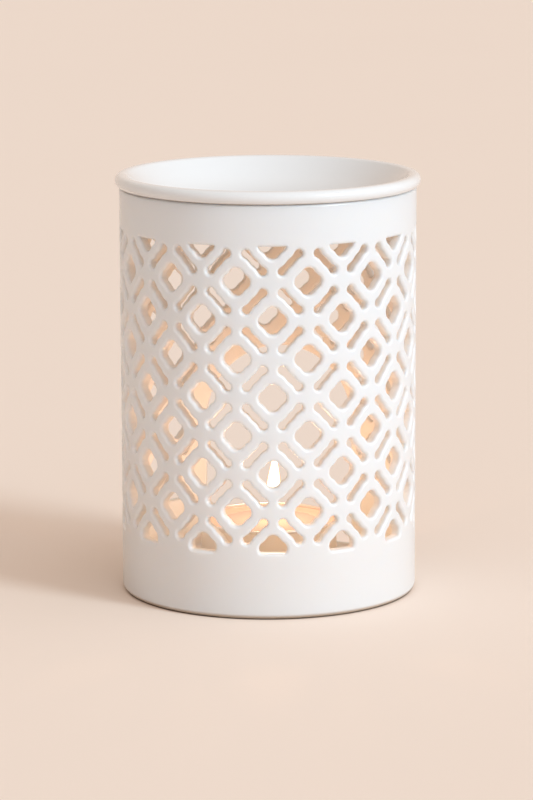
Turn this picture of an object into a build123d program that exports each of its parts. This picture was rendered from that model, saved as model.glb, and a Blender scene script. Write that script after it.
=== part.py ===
from build123d import *
import os
from math import atan2, cos, hypot, pi, sin, sqrt, tan

# A free-standing essential oil burner: a pierced ceramic cylinder with an arched doorway at the back,
# a shallow oil dish that lifts off its mouth, and a tealight that slides out through the doorway.
# Millimetres. +Z is up, the doorway faces +Y, and the origin is the centre of the underside.

# Body: one slip-cast cylinder with a floor
body_radius = 41.0
body_height = 113.1
wall = 3.2
floor_thickness = 4.4
base_edge_radius = 1.8
mouth_edge_radius = 0.8
inner_corner_radius = 2.4
foot_ring_width = 5.0
foot_recess_depth = 1.2
cut_overrun = 1.5

# Doorway: straight sides from the floor, closed by a half circle
doorway_width = 42.0
doorway_crown_height = 61.8
doorway_border = 2.5

# Pierced pattern: four-lobed holes on a staggered grid, and a bone-shaped slot between diagonal neighbours
column_count = 13
row_count = 9
row_pitch = 10.46
top_row_height = 102.8
lobe_reach = 3.8
lobe_radius = 2.1
notch_radius = 3.0
slot_half_length = 4.45
slot_end_radius = 1.2
slot_neck_radius = 3.7
slot_swell_radius = 3.8
slot_swell_half_width = 1.0
top_border_height = 101.9
bottom_border_height = 18.4
border_hole_shift = 0.55
border_corner_radius = 0.35

# Oil dish: a beaded rim that rests on the mouth, round a shallow bowl that drops inside it
bead_radius = 42.2
bead_height = 3.6
lip_width = 2.9
lip_edge_radius = 2.2
dish_wall = 2.8
dish_depth = 12.4
dish_clearance = 0.6
bowl_floor_radius = 24.0
bowl_corner_radius = 38.0

# Tealight: aluminium cup, wax, wick and the stamped tab that holds the wick up
cup_radius = 19.5
cup_height = 15.2
cup_wall = 0.3
cup_corner_radius = 1.0
rim_width = 0.5
rim_height = 0.8
wax_drop = 1.2
wax_clearance = 0.05
wick_radius = 0.7
wick_stand = 5.2
wick_clearance = 0.05
tab_radius = 6.0
tab_thickness = 0.3
tab_neck_radius = 1.3
tab_neck_height = 3.5

chamber_radius = body_radius - wall


def at(radius, height):
    """Point of the upright plane in which profiles and the doorway are drawn."""
    return (radius, 0, height)


def eased(face, radius, point):
    """The face with its corner nearest to a point rounded."""
    corner = min(face.vertices(), key=lambda vertex: (vertex.center() - Vector(*point)).length)
    return fillet([corner], radius)


def turned(face):
    """Solid of revolution about Z of a flat profile."""
    return revolve(face, axis=Axis.Z)


def doorway_tool():
    """Prism through the back wall, from the floor up to the half-round crown."""
    half = doorway_width / 2
    spring = doorway_crown_height - half
    sides = Polyline(
        at(-half, spring), at(-half, floor_thickness), at(half, floor_thickness), at(half, spring)
    )
    crown = ThreePointArc(at(half, spring), at(0, doorway_crown_height), at(-half, spring))
    start = chamber_radius / 2
    prism = extrude(make_face(sides + crown), amount=body_radius + cut_overrun - start, dir=(0, 1, 0))
    return Pos(0, start, 0) * prism


def touching(first, first_radius, second, second_radius, radius):
    """Centre of a circle of a radius that touches two circles from outside, on the left from first to second."""
    near, far = first_radius + radius, second_radius + radius
    dx, dy = second[0] - first[0], second[1] - first[1]
    span = hypot(dx, dy)
    along = (span**2 + near**2 - far**2) / (2 * span)
    aside = sqrt(near**2 - along**2)
    return (
        first[0] + (dx * along - dy * aside) / span,
        first[1] + (dy * along + dx * aside) / span,
    )


def towards(start, end, distance):
    """Point at a distance from start on the way to end."""
    share = distance / hypot(end[0] - start[0], end[1] - start[1])
    return (start[0] + (end[0] - start[0]) * share, start[1] + (end[1] - start[1]) * share)


def rotated(points, angle):
    """The same points turned about the origin by an angle in radians."""
    return [(cos(angle) * x - sin(angle) * y, sin(angle) * x + cos(angle) * y) for x, y in points]


def lobed_outline():
    """Four round lobes joined by shallow hollows, as ends and middles of arcs in turn."""
    centre = (lobe_reach - lobe_radius, 0)
    next_centre = (0, lobe_reach - lobe_radius)
    hollow = touching(next_centre, lobe_radius, centre, lobe_radius, notch_radius)
    joint = towards(centre, hollow, lobe_radius)
    notch = towards(hollow, (0, 0), notch_radius)
    quarter = [(joint[0], -joint[1]), (lobe_reach, 0), joint, notch]
    return [point for turn in range(4) for point in rotated(quarter, turn * pi / 2)]


def slot_outline():
    """Bone along X: round ends, a neck beside each and a slight swell between, as ends and middles of arcs."""
    end = (slot_half_length - slot_end_radius, 0)
    swell = (0, slot_swell_half_width - slot_swell_radius)
    neck = touching(swell, slot_swell_radius, end, slot_end_radius, slot_neck_radius)
    outer_joint = towards(end, neck, slot_end_radius)
    inner_joint = towards(swell, neck, slot_swell_radius)
    middle = ((outer_joint[0] + inner_joint[0]) / 2, (outer_joint[1] + inner_joint[1]) / 2)
    waist = towards(neck, middle, slot_neck_radius)
    right = [outer_joint, waist, inner_joint]
    left = [(-x, y) for x, y in reversed(right)]
    half = right + [(0, slot_swell_half_width)] + left + [(-slot_half_length, 0)]
    return half + rotated(half, pi)


def arcs_through(points):
    """Closed outline of arcs, from their ends and middles in turn."""
    count = len(points)
    arcs = [
        ThreePointArc(points[i], points[i + 1], points[(i + 2) % count]) for i in range(0, count, 2)
    ]
    return make_face(Wire(arcs))


def clears_doorway(points, bearing, height):
    """True where a hole leaves the plain border round the doorway whole."""
    if cos(bearing) < 0:
        return True
    half = doorway_width / 2
    spring = doorway_crown_height - half
    across = [body_radius * sin(bearing + x / body_radius) for x, y in points]
    above = [max(height + y - spring, 0) for x, y in points]
    return min(hypot(x, z) - half for x, z in zip(across, above)) > doorway_border


def hole_tool(face, bearing, height):
    """Radial prism of a flat outline. Bearing runs from +Y towards +X."""
    reach = body_radius + cut_overrun
    outside = Plane(
        origin=(reach * sin(bearing), reach * cos(bearing), height),
        x_dir=(cos(bearing), -sin(bearing), 0),
        z_dir=(-sin(bearing), -cos(bearing), 0),
    )
    return extrude(outside * face, amount=wall + 2 * cut_overrun)


def trimmed(face, low, high):
    """The part of a four-lobed outline between two heights, its cut corners eased."""
    band = Pos(0, (low + high) / 2) * Rectangle(4 * lobe_reach, high - low)
    piece = (face & band).face()
    flat = piece.edges().filter_by(GeomType.LINE)
    return fillet(flat.vertices(), border_corner_radius)


def pattern_tools():
    """Every hole of the pattern, from the top border down to the bottom one."""
    step = pi / column_count
    lean = atan2(row_pitch, body_radius * step)
    top_hole_height = top_row_height - border_hole_shift
    bottom_hole_height = top_row_height - (row_count - 1) * row_pitch + border_hole_shift
    lobed = lobed_outline()
    lobed_face = arcs_through(lobed)
    top_face = trimmed(lobed_face, -2 * lobe_reach, top_border_height - top_hole_height)
    bottom_face = trimmed(lobed_face, bottom_border_height - bottom_hole_height, 2 * lobe_reach)
    slots = {side: rotated(slot_outline(), side * lean) for side in (1, -1)}
    slot_faces = {side: arcs_through(points) for side, points in slots.items()}
    tools = []
    for row in range(row_count):
        height = top_row_height - row * row_pitch
        for column in range(2 * column_count):
            bearing = (column + 1 / 2) * step
            side = 1 if (row + column) % 2 == 0 else -1
            if side == 1 and row == 0:
                tools.append(hole_tool(top_face, bearing, top_hole_height))
            elif side == 1 and row == row_count - 1:
                if clears_doorway(lobed, bearing, bottom_hole_height):
                    tools.append(hole_tool(bottom_face, bearing, bottom_hole_height))
            elif side == 1 and clears_doorway(lobed, bearing, height):
                tools.append(hole_tool(lobed_face, bearing, height))
            if row < row_count - 1:
                middle = height - row_pitch / 2
                if clears_doorway(slots[side], bearing + step / 2, middle):
                    tools.append(hole_tool(slot_faces[side], bearing + step / 2, middle))
    return tools


def make_burner_body():
    """Pierced cylinder with a floor, a foot ring, an open mouth and the doorway."""
    foot_radius = body_radius - base_edge_radius - foot_ring_width
    profile = make_face(
        Polyline(
            at(0, foot_recess_depth),
            at(foot_radius, foot_recess_depth),
            at(foot_radius, 0),
            at(body_radius, 0),
            at(body_radius, body_height),
            at(chamber_radius, body_height),
            at(chamber_radius, floor_thickness),
            at(0, floor_thickness),
            close=True,
        )
    )
    profile = eased(profile, base_edge_radius, at(body_radius, 0))
    profile = eased(profile, mouth_edge_radius, at(body_radius, body_height))
    profile = eased(profile, mouth_edge_radius, at(chamber_radius, body_height))
    profile = eased(profile, inner_corner_radius, at(chamber_radius, floor_thickness))
    return turned(profile) - doorway_tool() - pattern_tools()


def make_oil_dish():
    """Beaded rim resting on the mouth, and a bowl whose outside steps down clear of the wall."""
    crest = body_height + bead_height
    floor = crest - dish_depth
    bead_middle = bead_radius - bead_height / 2
    bowl_radius = bead_radius - lip_width
    step_radius = chamber_radius - dish_clearance
    slope = atan2(dish_depth, bowl_radius - bowl_floor_radius)
    outer_floor_radius = bowl_floor_radius + dish_wall * tan(slope / 2)
    step_height = floor - dish_wall + (step_radius - outer_floor_radius) * tan(slope)
    bead = ThreePointArc(
        at(bead_middle, body_height), at(bead_radius, body_height + bead_height / 2), at(bead_middle, crest)
    )
    bowl = Polyline(
        at(bead_middle, crest),
        at(bowl_radius, crest),
        at(bowl_floor_radius, floor),
        at(0, floor),
        at(0, floor - dish_wall),
        at(outer_floor_radius, floor - dish_wall),
        at(step_radius, step_height),
        at(step_radius, body_height),
        at(bead_middle, body_height),
    )
    profile = make_face(bead + bowl)
    profile = eased(profile, lip_edge_radius, at(bowl_radius, crest))
    profile = eased(profile, bowl_corner_radius, at(bowl_floor_radius, floor))
    profile = eased(profile, bowl_corner_radius + dish_wall, at(outer_floor_radius, floor - dish_wall))
    return turned(profile)


def make_tealight_cup():
    """Drawn aluminium cup with a turned-out rim, standing on the body's floor."""
    side = cup_radius - rim_width
    top = floor_thickness + cup_height
    profile = make_face(
        Polyline(
            at(0, floor_thickness),
            at(side, floor_thickness),
            at(side, top - rim_height),
            at(cup_radius, top - rim_height),
            at(cup_radius, top),
            at(side - cup_wall, top),
            at(side - cup_wall, floor_thickness + cup_wall),
            at(0, floor_thickness + cup_wall),
            close=True,
        )
    )
    profile = eased(profile, cup_corner_radius, at(side, floor_thickness))
    profile = eased(profile, cup_corner_radius - cup_wall, at(side - cup_wall, floor_thickness + cup_wall))
    return turned(profile)


def make_wick_tab():
    """Stamped disc on the cup's floor, with a neck that grips the wick."""
    low = floor_thickness + cup_wall
    bore = wick_radius + wick_clearance
    profile = make_face(
        Polyline(
            at(bore, low),
            at(tab_radius, low),
            at(tab_radius, low + tab_thickness),
            at(tab_neck_radius, low + tab_thickness),
            at(tab_neck_radius, low + tab_neck_height),
            at(bore, low + tab_neck_height),
            close=True,
        )
    )
    return turned(profile)


def make_wick():
    """Upright wick, from the cup's floor to above the wax."""
    low = floor_thickness + cup_wall
    high = floor_thickness + cup_height - wax_drop + wick_stand
    profile = make_face(
        Polyline(at(0, low), at(wick_radius, low), at(wick_radius, high), at(0, high), close=True)
    )
    return turned(eased(profile, wick_radius / 2, at(wick_radius, high)))


def make_tealight_wax():
    """Wax that fills the cup round the tab and the wick."""
    low = floor_thickness + cup_wall
    high = floor_thickness + cup_height - wax_drop
    radius = cup_radius - rim_width - cup_wall - wax_clearance
    profile = make_face(
        Polyline(
            at(tab_radius + wax_clearance, low),
            at(radius, low),
            at(radius, high),
            at(wick_radius + wick_clearance, high),
            at(wick_radius + wick_clearance, low + tab_neck_height),
            at(tab_neck_radius + wax_clearance, low + tab_neck_height),
            at(tab_neck_radius + wax_clearance, low + tab_thickness),
            at(tab_radius + wax_clearance, low + tab_thickness),
            close=True,
        )
    )
    return turned(eased(profile, cup_corner_radius - cup_wall, at(radius, low)))


os.makedirs("parts", exist_ok=True)
export_step(make_oil_dish(), "parts/oil_dish.step")
export_step(make_tealight_cup(), "parts/tealight_cup.step")
export_step(make_wick_tab(), "parts/wick_tab.step")
export_step(make_wick(), "parts/wick.step")
export_step(make_tealight_wax(), "parts/tealight_wax.step")
export_step(make_burner_body(), "parts/burner_body.step", write_pcurves=False)
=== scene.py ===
from math import asin, atan2, cos, hypot, pi, radians, sin, sqrt

import bpy
import numpy as np
from mathutils import Matrix
from mathutils.geometry import delaunay_2d_cdt


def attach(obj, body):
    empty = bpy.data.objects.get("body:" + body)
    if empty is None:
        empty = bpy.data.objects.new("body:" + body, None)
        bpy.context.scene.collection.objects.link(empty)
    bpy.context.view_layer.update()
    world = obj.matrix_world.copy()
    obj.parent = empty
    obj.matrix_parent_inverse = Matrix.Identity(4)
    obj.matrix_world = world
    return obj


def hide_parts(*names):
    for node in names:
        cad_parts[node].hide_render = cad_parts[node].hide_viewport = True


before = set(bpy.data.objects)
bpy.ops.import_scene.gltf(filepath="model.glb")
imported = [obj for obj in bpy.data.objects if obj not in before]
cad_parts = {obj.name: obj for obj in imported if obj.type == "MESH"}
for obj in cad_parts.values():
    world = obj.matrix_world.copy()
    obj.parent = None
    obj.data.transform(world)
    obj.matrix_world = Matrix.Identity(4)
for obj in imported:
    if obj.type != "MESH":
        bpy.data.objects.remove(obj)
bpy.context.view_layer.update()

# Burner body: a slip-cast cylinder with a floor and a foot ring, pierced by hand while the clay was soft,
# with an arched doorway cut at the back. White glaze rounds every edge, and the foot ring is left bare;
# its brown up the rounded edge is painted contact shade.
millimetre = 0.001
body_radius, body_height, wall = 41.0, 113.1, 3.2
base_edge, mouth_edge, floor_top, floor_corner = 1.8, 0.8, 4.4, 2.4
foot_ring_width, foot_recess, foot_edge = 5.0, 1.2, 0.4
doorway_width, doorway_crown, doorway_border, sill_fade = 42.0, 61.8, 2.5, 3.0
column_count, row_count, row_pitch, top_row = 13, 9, 10.46, 102.8
lobe_reach, lobe_radius, notch_radius = 3.8, 2.1, 3.0
slot_reach, slot_end, slot_neck, slot_swell, slot_swell_half = 4.45, 1.2, 3.7, 3.8, 1.0
top_border, bottom_border, border_shift, border_softness = 101.9, 18.4, 0.55, 0.10
hole_edge, back_edge = 0.9, 0.5
grid_step, grid_rise, door_bearing, door_height = 3.2, 0.87, 0.9, 76.0
mouth_room, foot_room, border_room, hole_room, hole_gap, cap_gap = 1.0, 1.2, 2.4, 4.2, 1.4, 0.1
chamber_radius = body_radius - wall


def arc(start, middle, end, count):
    """Points on the circle through three points, from start towards end at even angles. The centre is
    where the perpendicular bisectors meet, and the end itself is left to the next arc."""
    (ax, ay), (bx, by), (cx, cy) = start, middle, end
    twice = 2 * (ax * (by - cy) + bx * (cy - ay) + cx * (ay - by))
    squares = ax**2 + ay**2, bx**2 + by**2, cx**2 + cy**2
    x = (squares[0] * (by - cy) + squares[1] * (cy - ay) + squares[2] * (ay - by)) / twice
    y = (squares[0] * (cx - bx) + squares[1] * (ax - cx) + squares[2] * (bx - ax)) / twice
    first, last = atan2(ay - y, ax - x), atan2(cy - y, cx - x)
    sweep = (last - first) % (2 * pi) if twice > 0 else -((first - last) % (2 * pi))
    angle = first + sweep * np.arange(count) / count
    return np.stack([x, y]) + hypot(ax - x, ay - y) * np.stack([np.cos(angle), np.sin(angle)], 1)


def touching(first, first_radius, second, second_radius, radius):
    """Centre of a circle that touches two circles from outside, on the left from first to second."""
    near, far = first_radius + radius, second_radius + radius
    dx, dy = second[0] - first[0], second[1] - first[1]
    span = hypot(dx, dy)
    along = (span**2 + near**2 - far**2) / (2 * span)
    aside = sqrt(near**2 - along**2)
    return first[0] + (dx * along - dy * aside) / span, first[1] + (dy * along + dx * aside) / span


def towards(start, end, distance):
    """Point at a distance from start on the way to end."""
    share = distance / hypot(end[0] - start[0], end[1] - start[1])
    return start[0] + (end[0] - start[0]) * share, start[1] + (end[1] - start[1]) * share


def rotated(points, angle):
    """The same points turned about the origin."""
    return [(cos(angle) * x - sin(angle) * y, sin(angle) * x + cos(angle) * y) for x, y in points]


def lobed_arcs():
    """Four lobes joined by shallow hollows: the ends and middles of the arcs in turn."""
    centre, next_centre = (lobe_reach - lobe_radius, 0), (0, lobe_reach - lobe_radius)
    hollow = touching(next_centre, lobe_radius, centre, lobe_radius, notch_radius)
    joint = towards(centre, hollow, lobe_radius)
    quarter = [(joint[0], -joint[1]), (lobe_reach, 0), joint, towards(hollow, (0, 0), notch_radius)]
    return [point for turn in range(4) for point in rotated(quarter, turn * pi / 2)]


def slot_arcs():
    """Bone with round ends, a neck beside each and a slight swell between: ends and middles of arcs."""
    end, swell = (slot_reach - slot_end, 0), (0, slot_swell_half - slot_swell)
    neck = touching(swell, slot_swell, end, slot_end, slot_neck)
    outer, inner = towards(end, neck, slot_end), towards(swell, neck, slot_swell)
    waist = towards(neck, ((outer[0] + inner[0]) / 2, (outer[1] + inner[1]) / 2), slot_neck)
    right = [outer, waist, inner]
    half = right + [(0, slot_swell_half)] + [(-x, y) for x, y in reversed(right)] + [(-slot_reach, 0)]
    return half + rotated(half, pi)


def outline(points, counts):
    """Closed anticlockwise outline through arcs given by their ends and middles, count points to each."""
    total = len(points)
    ends = [(points[i], points[i + 1], points[(i + 2) % total]) for i in range(0, total, 2)]
    return np.concatenate([arc(*three, count) for three, count in zip(ends, counts)])


def levelled(loop, height, upwards):
    """The outline cut off level. The height is the soft minimum of the point's own and the cut's, which
    is the logarithm of a sum of exponentials, so the two corners stay round."""
    side = 1 if upwards else -1
    below = side * (height - loop[:, 1]) / border_softness
    level = height - side * border_softness * np.logaddexp(0, below)
    return np.stack([loop[:, 0], level], 1)


def outward(loop):
    """Unit normals of an anticlockwise outline: the chord from neighbour to neighbour, turned right."""
    chord = np.roll(loop, -1, 0) - np.roll(loop, 1, 0)
    normal = np.stack([chord[:, 1], -chord[:, 0]], 1)
    return normal / np.linalg.norm(normal, axis=1, keepdims=True)


def clears_doorway(points, bearing, height):
    """True where a hole leaves the plain border round the doorway whole."""
    if cos(bearing) < 0:
        return True
    half = doorway_width / 2
    spring = doorway_crown - half
    across = [body_radius * sin(bearing + x / body_radius) for x, y in points]
    above = [max(height + y - spring, 0) for x, y in points]
    return min(hypot(x, z) - half for x, z in zip(across, above)) > doorway_border


def pierced_holes():
    """Every hole as its outline and normals, its bearing from +Y towards +X, and its height. Four-lobed
    holes stand on a staggered grid, and a slot lies between each two diagonal neighbours."""
    step = pi / column_count
    lean = atan2(row_pitch, body_radius * step)
    top_hole, bottom_row = top_row - border_shift, top_row - (row_count - 1) * row_pitch
    lobed = lobed_arcs()
    whole = outline(lobed, [8, 3] * 4)
    top = levelled(whole, top_border - top_hole, True)
    bottom = levelled(whole, bottom_border - bottom_row - border_shift, False)
    slot_points = {side: rotated(slot_arcs(), side * lean) for side in (1, -1)}
    slots = {side: outline(points, [3, 2, 3, 7] * 2) for side, points in slot_points.items()}
    holes = []
    for row in range(row_count):
        height = top_row - row * row_pitch
        for column in range(2 * column_count):
            bearing = (column + 1 / 2) * step
            side = 1 if (row + column) % 2 == 0 else -1
            if side == 1 and row == 0:
                holes.append((top, outward(top), bearing, top_hole))
            elif side == 1 and row == row_count - 1:
                if clears_doorway(lobed, bearing, height + border_shift):
                    holes.append((bottom, outward(bottom), bearing, height + border_shift))
            elif side == 1 and clears_doorway(lobed, bearing, height):
                holes.append((whole, outward(whole), bearing, height))
            middle = height - row_pitch / 2
            if row < row_count - 1 and clears_doorway(slot_points[side], bearing + step / 2, middle):
                holes.append((slots[side], outward(slots[side]), bearing + step / 2, middle))
    return holes


def doorway_outline():
    """Sill, jambs and half-round crown, anticlockwise, with mitred normals at the two square corners and
    each point's share of the rounding inside, which fades out at the sill."""
    half, spring = doorway_width / 2, doorway_crown - doorway_width / 2
    sill = np.stack([np.linspace(-half, half, 30), np.full(30, floor_top)], 1)
    rise = np.linspace(floor_top, spring, 28)[1:-1]
    turn = np.linspace(0, pi, 49)
    crown = np.stack([half * np.cos(turn), spring + half * np.sin(turn)], 1)
    right, left = np.stack([0 * rise + half, rise], 1), np.stack([0 * rise - half, rise[::-1]], 1)
    loop = np.concatenate([sill, right, crown, left])
    normal = np.zeros_like(loop)
    normal[: len(sill)] = 0, -1
    normal[len(sill) : len(sill) + len(right)] = 1, 0
    normal[len(sill) + len(right) : -len(left)] = np.stack([np.cos(turn), np.sin(turn)], 1)
    normal[-len(left) :] = -1, 0
    normal[0], normal[len(sill) - 1] = (-1, -1), (1, -1)
    return loop, normal, np.clip((loop[:, 1] - floor_top) / sill_fade, 0, 1)


def round_the_hole(loop, normal, bearing, height, share=1.0):
    """The glazed edge of one hole, from the outer face to the inner one. Each ring is the outline moved
    out by an offset and sunk by a depth: a quarter circle, the straight cut, and a smaller quarter."""
    turn, back = np.radians([0, 22.5, 45, 67.5, 90]), np.radians([0, 45, 90])
    share = np.broadcast_to(share, len(loop))
    offset = np.concatenate([
        hole_edge * (1 - np.sin(turn))[:, None] + 0 * share,
        back_edge * (1 - np.cos(back))[:, None] * share,
    ])
    depth = np.concatenate([
        hole_edge * (1 - np.cos(turn))[:, None] + 0 * share,
        wall - back_edge * (1 - np.sin(back))[:, None] * share,
    ])
    flat = loop + offset[..., None] * normal
    radius = body_radius - depth
    angle = bearing + np.arcsin(flat[..., 0] / radius)
    places = np.stack([radius * np.sin(angle), radius * np.cos(angle), height + flat[..., 1]], -1)
    outwards = np.concatenate([np.cos(turn), -np.sin(back)])[:, None, None]
    sideways = -np.concatenate([np.sin(turn), np.cos(back)])[:, None, None]
    radial = np.stack([np.sin(angle), np.cos(angle), 0 * angle], -1)
    across = np.array([cos(bearing), -sin(bearing), 0])
    facing = outwards * radial + sideways * (normal[:, :1] * across + normal[:, 1:] * np.array([0, 0, 1]))
    edge = np.concatenate([np.sin(2 * turn), 0.5 * np.sin(2 * back)])[:, None] + 0 * share
    return places, facing / np.linalg.norm(facing, axis=-1, keepdims=True), edge


def grid_triangles(rows, columns, start=0, closed=True):
    """Two triangles for each cell of a grid of points, stored row by row, closed along its columns."""
    row = np.arange(rows - 1)[:, None] * columns
    column = np.arange(columns if closed else columns - 1)[None]
    after = (column + 1) % columns
    a, b, c, d = row + column, row + after, row + columns + after, row + columns + column
    halves = [np.stack(corners, -1).reshape(-1, 3) for corners in ((a, b, c), (a, c, d))]
    return start + np.concatenate(halves)


def area(corners):
    """Signed area of outlines given as rows of points: half the sum of the cross products round them."""
    x, y = corners[..., 0], corners[..., 1]
    return ((x * np.roll(y, -1, -1)) - (y * np.roll(x, -1, -1))).sum(-1) / 2


def web(places, radius, loops, loose):
    """Triangles of one face of the wall between its outlines. The face is laid out on a flat ring, with
    the exponential of height over radius as the distance from the centre, which keeps all angles. There
    the points are joined so that the outlines stay and no triangle is needlessly thin. A triangle with
    its corners on one outline lies inside that hole where it turns as the outline does, and goes."""
    used = np.unique(np.concatenate([*loops, loose]))
    own = np.full(len(places), -1)
    own[used] = np.arange(len(used))
    bearing, height = np.arctan2(places[used, 0], places[used, 1]), places[used, 2]
    flat = np.exp(height / radius)[:, None] * np.stack([np.cos(bearing), -np.sin(bearing)], 1)
    edges = np.concatenate([np.stack([own[loop], np.roll(own[loop], -1)], 1) for loop in loops])
    made = delaunay_2d_cdt(flat.tolist(), edges.tolist(), [], 0, 1e-9)
    assert len(made[0]) == len(used)
    triangles = np.array(made[2])
    for loop in loops[1:]:
        order = np.full(len(used), -1)
        order[own[loop]] = np.arange(len(loop))
        mine = order[triangles]
        corners = flat[np.take_along_axis(triangles, mine.argsort(1), 1)]
        inside = (mine >= 0).all(1) & (area(corners) * area(flat[own[loop]]) > 0)
        triangles = triangles[~inside]
    return used[triangles]


def full_turn(count):
    """Even angles once round, without the start again at the end."""
    return np.linspace(0, 2 * pi, count, endpoint=False)


def rounded(corners, radii, steps=6):
    """Profile of straight runs joined by tangent arcs. An arc starts where its run still has the radius
    over the tangent of the half angle to go, and turns evenly to the next run."""
    corners = np.array(corners, float)
    path = [corners[:1]]
    for before, corner, after, radius in zip(corners, corners[1:], corners[2:], radii):
        back, on = before - corner, after - corner
        back, on = back / np.linalg.norm(back), on / np.linalg.norm(on)
        half = np.arccos(np.clip(back @ on, -1, 1)) / 2
        middle = corner + (back + on) / np.linalg.norm(back + on) * radius / np.sin(half)
        first = corner + back * radius / np.tan(half) - middle
        last = corner + on * radius / np.tan(half) - middle
        turn = pi - 2 * half
        share = np.linspace(0, 1, steps + 1)[:, None]
        swept = np.sin((1 - share) * turn) * first + np.sin(share * turn) * last
        path.append(middle + swept / np.sin(turn))
    return np.concatenate([*path, corners[-1:]])


def lathe(profile, bearings, closed=True):
    """A profile of radii and heights carried round the Z axis, with the air on its left. The normal is
    the profile's direction from neighbour to neighbour, turned left. Repeated points are left out."""
    profile = np.asarray(profile, float)
    profile = profile[np.append(True, np.hypot(*np.diff(profile, axis=0).T) > 1e-9)]
    ahead = np.gradient(profile, axis=0)
    ahead[1:-1] = profile[2:] - profile[:-2]
    ahead /= np.linalg.norm(ahead, axis=1, keepdims=True)
    s, c = np.sin(bearings), np.cos(bearings)
    radius, height = profile[:, :1], profile[:, 1:]
    places = np.stack([radius * s, radius * c, height + 0 * s], -1)
    facing = np.stack([-ahead[:, 1:] * s, -ahead[:, 1:] * c, ahead[:, :1] + 0 * s], -1)
    triangles = grid_triangles(len(profile), len(bearings), closed=closed)
    return places.reshape(-1, 3), facing.reshape(-1, 3), np.zeros(places.size // 3), triangles


def piece(name, surfaces, material):
    """One mesh object of several surfaces in millimetres. Points in the same place are welded and share
    their mean normal, triangles with no area go, and each triangle is turned to face as its points do."""
    starts = np.cumsum([0] + [len(surface[0]) for surface in surfaces])
    places, facing, edge = (np.concatenate([surface[i] for surface in surfaces]) for i in range(3))
    triangles = np.concatenate([surface[3] + start for surface, start in zip(surfaces, starts)])
    _, first, same = np.unique(np.round(places, 4), axis=0, return_index=True, return_inverse=True)
    same = same.reshape(-1)
    normal = np.zeros((len(first), 3))
    np.add.at(normal, same, facing)
    length = np.linalg.norm(normal, axis=1, keepdims=True)
    normal = np.where(length > 1e-9, normal / np.maximum(length, 1e-9), facing[first])
    places, edge, triangles = places[first] * millimetre, edge[first], same[triangles]
    a, b, c = triangles.T
    triangles = triangles[(a != b) & (b != c) & (a != c)]
    start, after, last = (places[triangles[:, i]] for i in range(3))
    cross = np.cross(after - start, last - start)
    wrong = (cross * normal[triangles].sum(1)).sum(1) < 0
    triangles[wrong] = triangles[wrong][:, ::-1]
    mesh = bpy.data.meshes.new(name)
    mesh.from_pydata(places, [], triangles)
    mesh.attributes.new("glaze_edge", "FLOAT", "POINT").data.foreach_set("value", edge.astype(np.float32))
    mesh.shade_smooth()
    mesh.normals_split_custom_set_from_vertices(normal)
    mesh.materials.append(material)
    made = bpy.data.objects.new(name, mesh)
    bpy.context.scene.collection.objects.link(made)
    return made


class Wire:
    """A socket in a material. Sums on wires add Math nodes, and node() adds any other kind."""

    def __init__(self, tree, socket=None):
        self.tree, self.socket = tree, socket

    def node(self, kind, sockets, settings=(), output=0):
        """Adds a node, makes its settings, then gives its sockets their values or wires."""
        made = self.tree.nodes.new(kind)
        for name, value in dict(settings).items():
            setattr(made, name, value)
        for name, value in sockets.items():
            if isinstance(value, Wire):
                self.tree.links.new(value.socket, made.inputs[name])
            else:
                made.inputs[name].default_value = value
        return Wire(self.tree, made.outputs[output])

    def axes(self, place):
        """The X, Y and Z of a place, each as a wire."""
        made = self.tree.nodes.new("ShaderNodeSeparateXYZ")
        self.tree.links.new(place.socket, made.inputs[0])
        return [Wire(self.tree, socket) for socket in made.outputs]

    def maths(self, operation, first, second=0.0):
        return self.node("ShaderNodeMath", {0: first, 1: second}, {"operation": operation})

    def __add__(self, other):
        return self.maths("ADD", self, other)

    def __sub__(self, other):
        return self.maths("SUBTRACT", self, other)

    def __rsub__(self, other):
        return self.maths("SUBTRACT", other, self)

    def __mul__(self, other):
        return self.maths("MULTIPLY", self, other)

    def __pow__(self, other):
        return self.maths("POWER", self, other)

    __radd__ = __add__

    def between(self, low, high):
        """0 below low and 1 above high, smooth between them, or turned round where high is less."""
        sockets = {"Value": self, "From Min": min(low, high), "From Max": max(low, high)}
        sockets.update({"To Min": float(low > high), "To Max": float(low < high)})
        return self.node("ShaderNodeMapRange", sockets, {"interpolation_type": "SMOOTHSTEP"})

    def blend(self, first, second):
        """First colour where this is 0, second where it is 1."""
        first, second = (c if isinstance(c, Wire) else (*c, 1) for c in (first, second))
        return self.node("ShaderNodeMix", {0: self, 6: first, 7: second}, {"data_type": "RGBA"}, 2)

    def noise(self, place, scale, detail=2.0, roughness=0.5):
        """Soft noise from 0 to 1, with grains about one over scale metres wide."""
        sockets = {"Vector": place, "Scale": scale, "Detail": detail, "Roughness": roughness}
        return self.node("ShaderNodeTexNoise", sockets)

    def bump(self, height, distance, strength):
        """Normal tilted by the slope of a height from 0 to 1 that stands for a distance in metres."""
        return self.node("ShaderNodeBump", {"Height": height, "Distance": distance, "Strength": strength})


def new_material(name):
    """An empty material, a wire to add its nodes with, and the place on the object."""
    material = bpy.data.materials.new(name)
    material.use_nodes = True
    tree = material.node_tree
    tree.nodes.clear()
    wire = Wire(tree)
    place = wire.node("ShaderNodeTexCoord", {}, output="Object")
    return material, wire, place


def finish(wire, shader):
    """Ends the material with its shader."""
    output = wire.tree.nodes.new("ShaderNodeOutputMaterial")
    wire.tree.links.new(shader.socket, output.inputs["Surface"])


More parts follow.
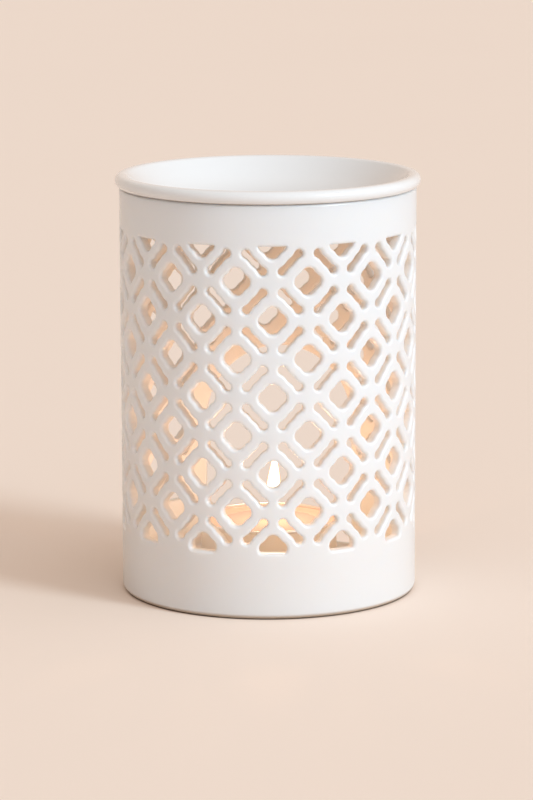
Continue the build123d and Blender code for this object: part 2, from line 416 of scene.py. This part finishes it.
def body_glaze():
    """Satin white glaze: broad soft unevenness, thinner and a little whiter on rounded edges, and duller
    inside. Painted shade greys it towards the bottom, painted candle light makes it creamier inside, and
    the bare buff clay of the foot ring is painted darker as contact shade up the rounded edge. Light goes
    a few millimetres into it."""
    material, wire, place = new_material("white_body_glaze")
    x, y, z = wire.axes(place)
    edge = wire.node("ShaderNodeAttribute", {}, {"attribute_name": "glaze_edge"}, "Fac")
    radius = (x * x + y * y) ** 0.5
    inside = radius.between(0.0406, 0.0392)
    # painted contact shade: the bare clay's brown reaches up the rounded edge of the foot, by the table
    bare_clay_and_contact_shade = z.between(0.0016, 0.0006)
    # painted shade: this mask greys and warms the glaze towards the bottom of the body
    low = z.between(0.060, 0.0)
    cloud = wire.noise(place, 28.0, 3.0)
    mottle = wire.noise(place, 240.0, 2.0)
    colour = cloud.blend((0.775, 0.795, 0.812), (0.805, 0.825, 0.840))
    colour = (mottle * 0.12).blend(colour, (0.76, 0.77, 0.775))
    colour = (low * 0.8).blend(colour, (0.765, 0.755, 0.745))
    colour = (edge * 0.55).blend(colour, (0.835, 0.845, 0.85))
    # painted candle light: the inside and the hole walls are creamier and lighter than the outside
    colour = inside.blend(colour, (0.86, 0.82, 0.77))
    colour = bare_clay_and_contact_shade.blend(colour, (0.52, 0.42, 0.33))
    grain = wire.noise(place, 3200.0, 2.0)
    height = cloud * 0.6 + mottle * 0.25 + grain * 0.02 + bare_clay_and_contact_shade * grain * 0.4
    shader = wire.node("ShaderNodeBsdfPrincipled", {
        "Base Color": colour,
        "Roughness": 0.34 + mottle * 0.08 + inside * 0.34 + bare_clay_and_contact_shade * 0.4 - edge * 0.06,
        "Coat Weight": 0.35 - wire.maths("MAXIMUM", bare_clay_and_contact_shade, inside) * 0.35,
        "Coat Roughness": 0.12,
        "Subsurface Weight": 0.6,
        "Subsurface Radius": (1.0, 0.9, 0.8),
        "Subsurface Scale": 0.004,
        "Normal": wire.bump(height, 0.00012, 0.6),
    })
    finish(wire, shader)
    return material


def nearest(points, others):
    """Distance from each point to the nearest of the others."""
    return np.min(np.linalg.norm(points[:, None] - others[None], axis=2), axis=1)


def plain_points(radius, lowest):
    """Points of a staggered grid on the parts of the wall without a pattern: below it, above it and round
    the doorway. Without them the triangles of the wall's face would be long and thin there."""
    rise = grid_step * grid_rise
    heights = np.arange(grid_step, body_height - mouth_edge - mouth_room, rise)
    heights, turns = np.meshgrid(heights, np.arange(0, 2 * pi, grid_step / body_radius))
    turns = turns + (np.round(heights / rise) % 2) * grid_step / body_radius / 2
    heights, turns = heights.ravel(), (turns.ravel() + pi) % (2 * pi) - pi
    below, above = heights < bottom_border - border_room, heights > top_border + border_room
    round_door = (np.abs(turns) < door_bearing) & (heights < door_height)
    across, spring = radius * np.sin(turns), doorway_crown - doorway_width / 2
    from_crown = np.hypot(across, np.maximum(heights - spring, 0))
    door = (np.cos(turns) > 0) & (from_crown < doorway_width / 2 + border_room)
    keep = (below | above | round_door) & ~door & (heights > lowest + foot_room)
    heights, turns = heights[keep], turns[keep]
    points = np.stack([radius * np.sin(turns), radius * np.cos(turns), heights], 1)
    spots = [(bearing, height) for _, _, bearing, height in pierced_holes()]
    centres = np.array([(radius * sin(turn), radius * cos(turn), height) for turn, height in spots])
    return points[nearest(points, centres) > hole_room]


def burner_body():
    """All surfaces of the pierced body: the glazed edge of each hole and of the doorway, the two faces of
    the wall between them, the mouth, the foot, the floor with its threshold in the doorway, and the
    fillet where the floor meets the wall, which ends in a flat cap on each side of the doorway."""
    around = full_turn(240)
    sill_loop, sill_normal, sill_share = doorway_outline()
    edges = [round_the_hole(sill_loop, sill_normal, 0, 0, sill_share)]
    edges += [round_the_hole(*hole) for hole in pierced_holes()]
    rings, start = len(edges[0][0]), 0
    triangles, front_loops, back_loops = [], [], []
    for places, _, _ in edges:
        count = places.shape[1]
        triangles.append(grid_triangles(rings, count, start))
        front_loops.append(start + np.arange(count))
        back_loops.append(start + (rings - 1) * count + np.arange(count))
        start += rings * count
    places, facing = (np.concatenate([part[i].reshape(-1, 3) for part in edges]) for i in (0, 1))
    edge = np.concatenate([part[2].reshape(-1) for part in edges])

    def ring(radius, height, bearings, out):
        """Points of one circle on the wall, with their index."""
        nonlocal places, facing, edge
        radial = np.stack([np.sin(bearings), np.cos(bearings), 0 * bearings], 1)
        index = len(places) + np.arange(len(bearings))
        places = np.concatenate([places, radius * radial + (0, 0, height)])
        facing = np.concatenate([facing, out * radial])
        edge = np.concatenate([edge, 0 * bearings])
        return index

    sill = back_loops[0][sill_loop[:, 1] <= floor_top + 1e-6]
    fillet_start = asin((doorway_width / 2 + back_edge + cap_gap) / chamber_radius)
    fillet_bearings = np.linspace(fillet_start, 2 * pi - fillet_start, 202)
    fillet_top, mouth_height = floor_top + floor_corner, body_height - mouth_edge
    for radius, loops, out in ((body_radius, front_loops, 1), (chamber_radius, back_loops, -1)):
        top = ring(radius, mouth_height, around, out)
        if out > 0:
            low, lowest = ring(radius, base_edge, around, out), base_edge
        else:
            first = ring(radius, floor_top, fillet_bearings[:1], out)
            raised = ring(radius, fillet_top, fillet_bearings, out)
            last = ring(radius, floor_top, fillet_bearings[-1:], out)
            low, lowest = np.concatenate([sill, first, raised, last]), fillet_top
        points = plain_points(radius, lowest)
        points = points[nearest(points, places[np.concatenate(loops)]) > hole_gap]
        loose = len(places) + np.arange(len(points))
        places = np.concatenate([places, points])
        facing = np.concatenate([facing, out * points * (1, 1, 0) / radius])
        edge = np.concatenate([edge, np.zeros(len(points))])
        triangles.append(web(places, radius, [top, low, *loops], loose))
    shell = places, facing, edge, np.concatenate(triangles)
    mouth_corners = [
        (chamber_radius, mouth_height), (chamber_radius, body_height),
        (body_radius, body_height), (body_radius, mouth_height),
    ]
    mouth = lathe(rounded(mouth_corners, [mouth_edge] * 2), around)
    foot_inner = body_radius - base_edge - foot_ring_width
    foot_corners = [
        (body_radius, base_edge), (body_radius, 0), (foot_inner, 0),
        (foot_inner, foot_recess), (0, foot_recess),
    ]
    foot = lathe(rounded(foot_corners, [base_edge, foot_edge, foot_edge]), around)
    sill_bearings = np.arctan2(places[sill, 0], places[sill, 1])
    floor_radius = chamber_radius - floor_corner
    floor_bearings = np.concatenate([sill_bearings, fillet_bearings])
    floor_rings = np.stack([floor_radius * np.linspace(0, 1, 9), np.full(9, floor_top)], 1)
    floor = lathe(floor_rings, floor_bearings)
    threshold_bearings = np.concatenate([[-fillet_start], sill_bearings, [fillet_start]])
    threshold_rings = [(floor_radius, floor_top), (chamber_radius, floor_top)]
    threshold = lathe(threshold_rings, threshold_bearings, closed=False)
    turn = np.linspace(-pi / 2, 0, 9)
    hollow = (floor_radius, fillet_top) + floor_corner * np.stack([np.cos(turn), np.sin(turn)], 1)
    fillet = lathe(hollow, fillet_bearings, closed=False)
    caps = []
    for bearing, side in ((fillet_start, -1), (-fillet_start, 1)):
        rim = np.concatenate([hollow, [(chamber_radius, floor_top)]])
        cap = np.stack([rim[:, 0] * sin(bearing), rim[:, 0] * cos(bearing), rim[:, 1]], 1)
        facing_door = np.tile([side * cos(bearing), -side * sin(bearing), 0], (len(cap), 1)) / 2
        first = np.arange(len(hollow) - 1)
        fan = np.stack([np.full(len(first), len(hollow)), first, first + 1], 1)
        caps.append((cap, facing_door, np.zeros(len(cap)), fan))
    return [shell, mouth, foot, floor, threshold, fillet, *caps]


body = piece("burner_body_pierced", burner_body(), body_glaze())
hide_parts("burner_body")
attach(body, "burner")


# Oil dish: thrown or cast in one, with a rolled bead that rests on the body's mouth and a smooth shallow
# bowl. It has the same white glaze as the body, but thicker and glossier.
bead_radius, bead_height, lip_width, lip_edge, step_edge = 42.2, 3.6, 2.9, 2.2, 0.3
dish_wall, dish_depth, dish_gap, bowl_floor_radius, bowl_corner = 2.8, 12.4, 0.6, 24.0, 38.0


def dish_profile():
    """From the middle of the bowl over the bead and back under it to the middle."""
    crest = body_height + bead_height
    floor = crest - dish_depth
    bowl_radius, step_radius = bead_radius - lip_width, chamber_radius - dish_gap
    slope = atan2(dish_depth, bowl_radius - bowl_floor_radius)
    under_radius = bowl_floor_radius + dish_wall * np.tan(slope / 2)
    step_height = floor - dish_wall + (step_radius - under_radius) * np.tan(slope)
    corners = [
        (0, floor), (bowl_floor_radius, floor), (bowl_radius, crest), (bead_radius, crest),
        (bead_radius, body_height), (step_radius, body_height), (step_radius, step_height),
        (under_radius, floor - dish_wall), (0, floor - dish_wall),
    ]
    half_bead = bead_height / 2 - 0.001
    bead = [lip_edge, half_bead, half_bead]
    return rounded(corners, [bowl_corner, *bead, step_edge, step_edge, bowl_corner + dish_wall], 12)


def dish_glaze():
    """Thick glossy white glaze, whiter on the bead. Painted shade greys it low in the bowl, where the
    glaze also pools, and the bare clay ring under the bead that rests on the mouth is painted dark as the
    shade in the joint."""
    material, wire, place = new_material("white_dish_glaze")
    x, y, z = wire.axes(place)
    radius = (x * x + y * y) ** 0.5
    pooled_glaze_and_shade = z.between(0.1115, 0.1050)
    cloud = wire.noise(place, 22.0, 2.0)
    mottle = wire.noise(place, 180.0, 2.0)
    colour = cloud.blend((0.810, 0.820, 0.830), (0.840, 0.850, 0.857))
    # painted shade: greyer low in the bowl, where the glaze also pools
    colour = (pooled_glaze_and_shade * 0.85).blend(colour, (0.68, 0.69, 0.70))
    # painted shade in the joint: the bare clay ring under the bead is dark brown
    bare_clay_and_contact_shade = z.between(0.1136, 0.1132) * radius.between(0.0375, 0.0380)
    colour = bare_clay_and_contact_shade.blend(colour, (0.52, 0.43, 0.35))
    shader = wire.node("ShaderNodeBsdfPrincipled", {
        "Base Color": colour,
        "Roughness": 0.22 + mottle * 0.06,
        "Coat Weight": 0.9 - mottle * 0.1,
        "Coat Roughness": 0.04,
        "Normal": wire.bump(cloud + mottle * 0.12, 0.00025, 0.5),
    })
    finish(wire, shader)
    return material


dish = piece("oil_dish_glazed", [lathe(dish_profile(), full_turn(256))], dish_glaze())
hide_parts("oil_dish")
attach(dish, "dish")


# Tealight cup: drawn from thin aluminium, with a rolled rim. The drawing leaves fine upright lines. It
# stands loose on the chamber's floor.
cup_radius, cup_height, cup_wall, cup_corner, rim_width, rim_height = 19.5, 15.2, 0.3, 1.0, 0.5, 0.8
rim_edges = 0.3, 0.35, 0.3, 0.15


def cup_profile():
    """From the middle of the cup's inside over the rim and down the outside to the middle."""
    side, top = cup_radius - rim_width, floor_top + cup_height
    inside, inside_floor = side - cup_wall, floor_top + cup_wall
    corners = [
        (0, inside_floor), (inside, inside_floor), (inside, top), (cup_radius, top),
        (cup_radius, top - rim_height), (side, top - rim_height), (side, floor_top), (0, floor_top),
    ]
    return rounded(corners, [cup_corner - cup_wall, *rim_edges, cup_corner], 5)


def cup_metal():
    """Bright aluminium with fine upright draw lines, which also roughen it."""
    material, wire, place = new_material("drawn_aluminium")
    x, y, z = wire.axes(place)
    stretched = wire.node("ShaderNodeCombineXYZ", {0: x, 1: y, 2: z * 0.04})
    lines = wire.noise(stretched, 1500.0, 3.0)
    smudge = wire.noise(place, 90.0, 2.0)
    shader = wire.node("ShaderNodeBsdfPrincipled", {
        "Base Color": smudge.blend((0.84, 0.84, 0.84), (0.90, 0.90, 0.895)),
        "Metallic": 1.0,
        "Roughness": 0.26 + lines * 0.16 + smudge * 0.06,
        "Normal": wire.bump(lines, 0.00004, 0.5),
    })
    finish(wire, shader)
    return material


cup = piece("tealight_cup_drawn", [lathe(cup_profile(), full_turn(128))], cup_metal())
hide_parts("tealight_cup")
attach(cup, "tealight")


# Wick tab: a stamped disc of tinned steel that holds the wick upright, set into the wax when it is
# poured. It lies out of sight, so it keeps its plain shape and only gets its metal.
def tab_metal():
    """Tinned steel with faint concentric stamping marks."""
    material, wire, place = new_material("tinned_steel")
    x, y, _ = wire.axes(place)
    rings = wire.maths("SINE", (x * x + y * y) ** 0.5 * 12000.0)
    grain = wire.noise(place, 900.0)
    shader = wire.node("ShaderNodeBsdfPrincipled", {
        "Base Color": grain.blend((0.55, 0.55, 0.54), (0.66, 0.66, 0.65)),
        "Metallic": 1.0,
        "Roughness": 0.30 + grain * 0.15,
        "Normal": wire.bump(rings, 0.00002, 0.4),
    })
    finish(wire, shader)
    return material


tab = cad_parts["wick_tab"]
tab.data.materials.clear()
tab.data.materials.append(tab_metal())


# Tealight wax: poured white wax, here molten to a clear glossy pool round the wick, with a duller set
# ring against the cup. Its orange colour and its glow, strongest by the wick, are painted flame light.
wax_drop, wax_gap, wax_bore, wick_radius, wick_stand = 1.2, 0.05, 0.75, 0.7, 5.2
wick_rise, wick_spread, cup_rise, cup_spread = 0.5, 1.0, 0.35, 1.6
wax_top = floor_top + cup_height - wax_drop


def wax_surface():
    """A closed lathe profile whose top rises at the wick and at the cup, as a liquid's edge does. Each
    rise is its height times the exponential of minus the squared distance over its width."""
    outer, low = cup_radius - rim_width - cup_wall - wax_gap, floor_top + cup_wall
    radius = wax_bore + (outer - wax_bore) * np.linspace(0, 1, 40) ** 0.9
    at_wick = wick_rise * np.exp(-(((radius - wax_bore) / wick_spread) ** 2))
    at_cup = cup_rise * np.exp(-(((outer - radius) / cup_spread) ** 2))
    top = np.stack([radius, wax_top + (at_wick + at_cup)], 1)
    up = [(wax_bore, low), (wax_bore, wax_top - 1)]
    down = [(outer, wax_top - 1), (outer, low), (wax_bore, low)]
    return lathe(np.concatenate([up, top, down]), full_turn(96))


def wax_material():
    """White wax, clear and smooth in the pool and frosted at the rim, coloured orange and glowing most by
    the wick: both painted flame light.
    """
    material, wire, place = new_material("candle_wax")
    x, y, _ = wire.axes(place)
    radius = (x * x + y * y) ** 0.5
    noise = wire.noise(place, 160.0, 3.0)
    pool = (radius + noise * 0.003).between(0.0165, 0.0145)
    glow = radius.between(0.020, 0.0)
    shader = wire.node("ShaderNodeBsdfPrincipled", {
        # painted flame light: both colours are orange where the real wax is white
        "Base Color": pool.blend((0.80, 0.50, 0.42), (0.66, 0.36, 0.30)),
        "Roughness": 0.45 - pool * 0.37,
        # painted glow of the flame in the wax, strongest near the wick
        "Emission Color": glow.blend((0.30, 0.15, 0.05), (0.95, 0.60, 0.26)),
        "Emission Strength": 0.08,
        "Normal": wire.bump(noise * (1 - pool), 0.0003, 0.5),
    })
    finish(wire, shader)
    return material


wax = piece("tealight_wax_pool", [wax_surface()], wax_material())
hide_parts("tealight_wax")
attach(wax, "tealight")


# Wick: a braided cotton cord, held by its tab and the wax, charred where it burns and curled over a
# little at its tip.
wick_bend, strand_pitch, wick_core, tip_share = 0.8, 2.6, 0.86, 0.05


def tube(turn, radius, aside, height, up):
    """A closed surface of rings round a path that moves aside. Its normals point out along each ring,
    with the given part upwards."""
    towards_x, towards_y = aside
    places = np.stack([towards_x + radius * np.cos(turn), towards_y + radius * np.sin(turn), height], -1)
    facing = np.stack([np.cos(turn), np.sin(turn), up], -1).reshape(-1, 3)
    facing /= np.linalg.norm(facing, axis=1, keepdims=True)
    return places.reshape(-1, 3), facing, np.zeros(places.size // 3), grid_triangles(*turn.shape)


def wick_surface():
    """A tube up a path that moves aside with the square of the height above the wax. Its radius swells by
    a tenth with the cosine of three strands that wind one way and by a twentieth with three that wind the
    other way, and shrinks at the tip as a quarter circle does."""
    low, high = floor_top + cup_wall, wax_top + wick_stand
    share, turn = np.meshgrid(np.linspace(0, 1, 60), full_turn(18), indexing="ij")
    height = low + (high - low) * share
    wind = strand_pitch * height
    strands = 1 + 0.10 * np.cos(3 * turn + wind) + 0.05 * np.cos(3 * turn - wind)
    tip = np.clip((share - (1 - tip_share)) / tip_share, 0, 1)
    radius = wick_radius * wick_core * strands * np.sqrt(1 - tip**2) * (share > 0)
    aside = wick_bend * np.clip((height - wax_top) / wick_stand, 0, 1) ** 2
    up = (share >= 1) * 3.0 - (share <= 0) * 3.0
    return tube(turn, radius, (aside, 0 * aside), height, up)


def wick_cotton():
    """Cream cotton below the wax, black char above it, with a fine fibre."""
    material, wire, place = new_material("wick_cotton")
    z = wire.axes(place)[2]
    fibre = wire.noise(place, 3500.0, 3.0)
    char = (z + fibre * 0.0006).between(0.0186, 0.0200)
    cotton = fibre.blend((0.62, 0.55, 0.42), (0.80, 0.73, 0.58))
    shader = wire.node("ShaderNodeBsdfPrincipled", {
        "Base Color": char.blend(cotton, (0.02, 0.016, 0.014)),
        "Roughness": 0.85,
        "Normal": wire.bump(fibre, 0.0001, 0.8),
    })
    finish(wire, shader)
    return material


wick = piece("wick_braid", [wick_surface()], wick_cotton())
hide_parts("wick")
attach(wick, "tealight")


# Flame: a white-hot teardrop of burning wax vapour in a thin orange mantle, leaning a little to one side
# in the draught. It stands on the wick and moves with the tealight.
flame_low, flame_high, flame_half, mantle_swell = 22.8, 40.0, 1.91, 0.2
flame_start, flame_drift, flame_bearing, root_height = 0.9, 0.9, radians(4.5), 7.0


def flame_surface(swell):
    """A closed teardrop round a leaning line. Its half width goes as the square root of the share of the
    height times one less the share to the power 1.4, and 2.99 makes the greatest of that 1. The line
    moves aside with the share to the power 0.6."""
    share, turn = np.meshgrid(np.linspace(0, 1, 40), full_turn(32), indexing="ij")
    half = (flame_half + swell) * 2.99 * np.sqrt(share) * (1 - share) ** 1.4
    height = flame_low - swell + (flame_high - flame_low + 2 * swell) * share
    aside = flame_start + flame_drift * share**0.6
    lean = aside * cos(flame_bearing), aside * sin(flame_bearing)
    return tube(turn, half, lean, height, 1.2 * (share - 0.35))


def flame_light(name, low_colour, high_colour, strength, solid):
    """Light of its own, deeper in colour and clearer at the wick. The rest of the surface lets light
    through: from four tenths of its solid share at the wick to the whole of it higher up."""
    material, wire, place = new_material(name)
    z = wire.axes(place)[2]
    share = z.between(flame_low * millimetre, (flame_low + root_height) * millimetre)
    colour = share.blend(low_colour, high_colour)
    glow = wire.node("ShaderNodeEmission", {"Color": colour, "Strength": strength})
    through = wire.node("ShaderNodeBsdfTransparent", {"Color": (1, 1, 1, 1)})
    amount = share * (solid * 0.6) + solid * 0.4
    finish(wire, wire.node("ShaderNodeMixShader", {0: amount, 1: through, 2: glow}))
    return material


core_light = flame_light("flame_core", (1.0, 0.72, 0.42), (1.0, 0.93, 0.80), 3.0, 1.0)
mantle_light = flame_light("flame_mantle", (1.0, 0.30, 0.06), (1.0, 0.42, 0.10), 1.6, 0.4)
flame = piece("flame_core", [flame_surface(0)], core_light)
mantle = piece("flame_mantle", [flame_surface(mantle_swell)], mantle_light)
for glowing in (flame, mantle):
    glowing.visible_shadow = False
    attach(glowing, "tealight")
candle = bpy.data.lights.new("candle", "POINT")
candle.energy, candle.color, candle.shadow_soft_size = 0.028, (1.0, 0.62, 0.36), 0.0028
candle_lamp = bpy.data.objects.new("candle", candle)
candle_lamp.location = (0.0015, 0, 0.0325)
bpy.context.scene.collection.objects.link(candle_lamp)
candle_lamp.parent = flame


# Table: one wide pale sheet, matt and plain, running back out of view. Only its contact line with the
# foot is darker, where the burner keeps the light out.
table_radius = 7000.0


def table_paint():
    """Warm pale paint with a very faint grain, and a brown contact shade just under the rounded foot."""
    material, wire, place = new_material("pale_table")
    x, y, _ = wire.axes(place)
    under = ((x * x + y * y) ** 0.5).between(0.0408, 0.0396)
    grain = wire.noise(place, 700.0, 3.0)
    cloud = wire.noise(place, 5.0, 2.0)
    colour = (grain * 0.5 + cloud * 0.5).blend((0.937, 0.802, 0.707), (0.951, 0.816, 0.721))
    shader = wire.node("ShaderNodeBsdfPrincipled", {
        "Base Color": under.blend(colour, (0.24, 0.16, 0.11)),
        "Roughness": 0.75,
        "Specular IOR Level": 0.2,
        "Normal": wire.bump(grain, 0.00005, 0.3),
    })
    finish(wire, shader)
    return material


def table_surface():
    """A flat disc of rings whose radius grows with the square of the share."""
    share, turn = np.meshgrid(np.linspace(0, 1, 24) ** 2, full_turn(96), indexing="ij")
    flat = np.stack([share * np.sin(turn), share * np.cos(turn), 0 * share], -1)
    places = table_radius * flat.reshape(-1, 3)
    facing = np.tile([0.0, 0.0, 1.0], (len(places), 1))
    return places, facing, np.zeros(len(places)), grid_triangles(24, 96)


table = piece("table", [table_surface()], table_paint())


# Light: a soft window, fairly low, to the right and front, and wide glows from above, from the right and
# from the front that fill its shadows. The view itself and mirrored light meet an even pale backdrop.
window_bearing, window_rise, window_spread = radians(60), radians(28), radians(16)
window_light = bpy.data.lights.new("window", "SUN")
window_light.energy, window_light.angle = 1.03 * pi, window_spread
window_light.color = (0.395, 0.480, 0.535)
window = bpy.data.objects.new("window", window_light)
tipped = Matrix.Rotation(pi / 2 - window_rise, 4, "X")
window.matrix_world = Matrix.Rotation(window_bearing, 4, "Z") @ tipped
bpy.context.scene.collection.objects.link(window)
world = bpy.data.worlds.new("room")
world.use_nodes = True
world.node_tree.nodes.clear()
room = Wire(world.node_tree)
towards_sky = room.node("ShaderNodeTexCoord", {}, output="Generated")


def combined(operation, first, second, output=0):
    """Vector sum, or the dot product where the second output is taken."""
    return room.node("ShaderNodeVectorMath", {0: first, 1: second}, {"operation": operation}, output)


def glow_from(direction, colour):
    """A wide soft glow: its colour times the cosine from its middle, and nothing behind."""
    cosine = combined("DOT_PRODUCT", towards_sky, direction, 1)
    return room.maths("MAXIMUM", cosine, 0.0).blend((0, 0, 0), colour)


overhead = glow_from((0, 0, 1), (0.745, 0.605, 0.485))
sideways = glow_from((0.9, -0.3, 0.2), (0.450, 0.460, 0.500))
ahead = glow_from((0.08, -0.9, 0.2), (0.325, 0.385, 0.445))
glow = combined("ADD", combined("ADD", overhead, sideways), ahead)
seen = room.node("ShaderNodeLightPath", {}, output="Is Camera Ray")
mirrored = room.node("ShaderNodeLightPath", {}, output="Is Glossy Ray")
colour = room.maths("MAXIMUM", seen, mirrored).blend(glow, (0.84, 0.69, 0.59))
backing = room.node("ShaderNodeBackground", {"Color": colour, "Strength": 1.0})
ground = world.node_tree.nodes.new("ShaderNodeOutputWorld")
world.node_tree.links.new(backing.socket, ground.inputs["Surface"])
bpy.context.scene.world = world

# Camera: a long lens a metre away, a little to the right of the front and above, looking slightly down,
# with the small turn and roll that the photo has.
camera_turn, camera_distance, camera_height = radians(5.3), 0.98553, 0.24094
pitch, yaw, roll = radians(10.805), 0.00056, -0.0031
lens = bpy.data.cameras.new("camera")
lens.lens, lens.sensor_width, lens.clip_start, lens.clip_end = 161.9, 36.0, 0.01, 20.0
camera = bpy.data.objects.new("camera", lens)
spot = (camera_distance * sin(camera_turn), -camera_distance * cos(camera_turn), camera_height)
turned = Matrix.Rotation(camera_turn + yaw, 4, "Z") @ Matrix.Rotation(pi / 2 - pitch, 4, "X")
camera.matrix_world = Matrix.Translation(spot) @ turned @ Matrix.Rotation(roll, 4, "Z")
bpy.context.scene.collection.objects.link(camera)
bpy.context.scene.camera = camera

bpy.context.scene.view_settings.view_transform = "Standard"
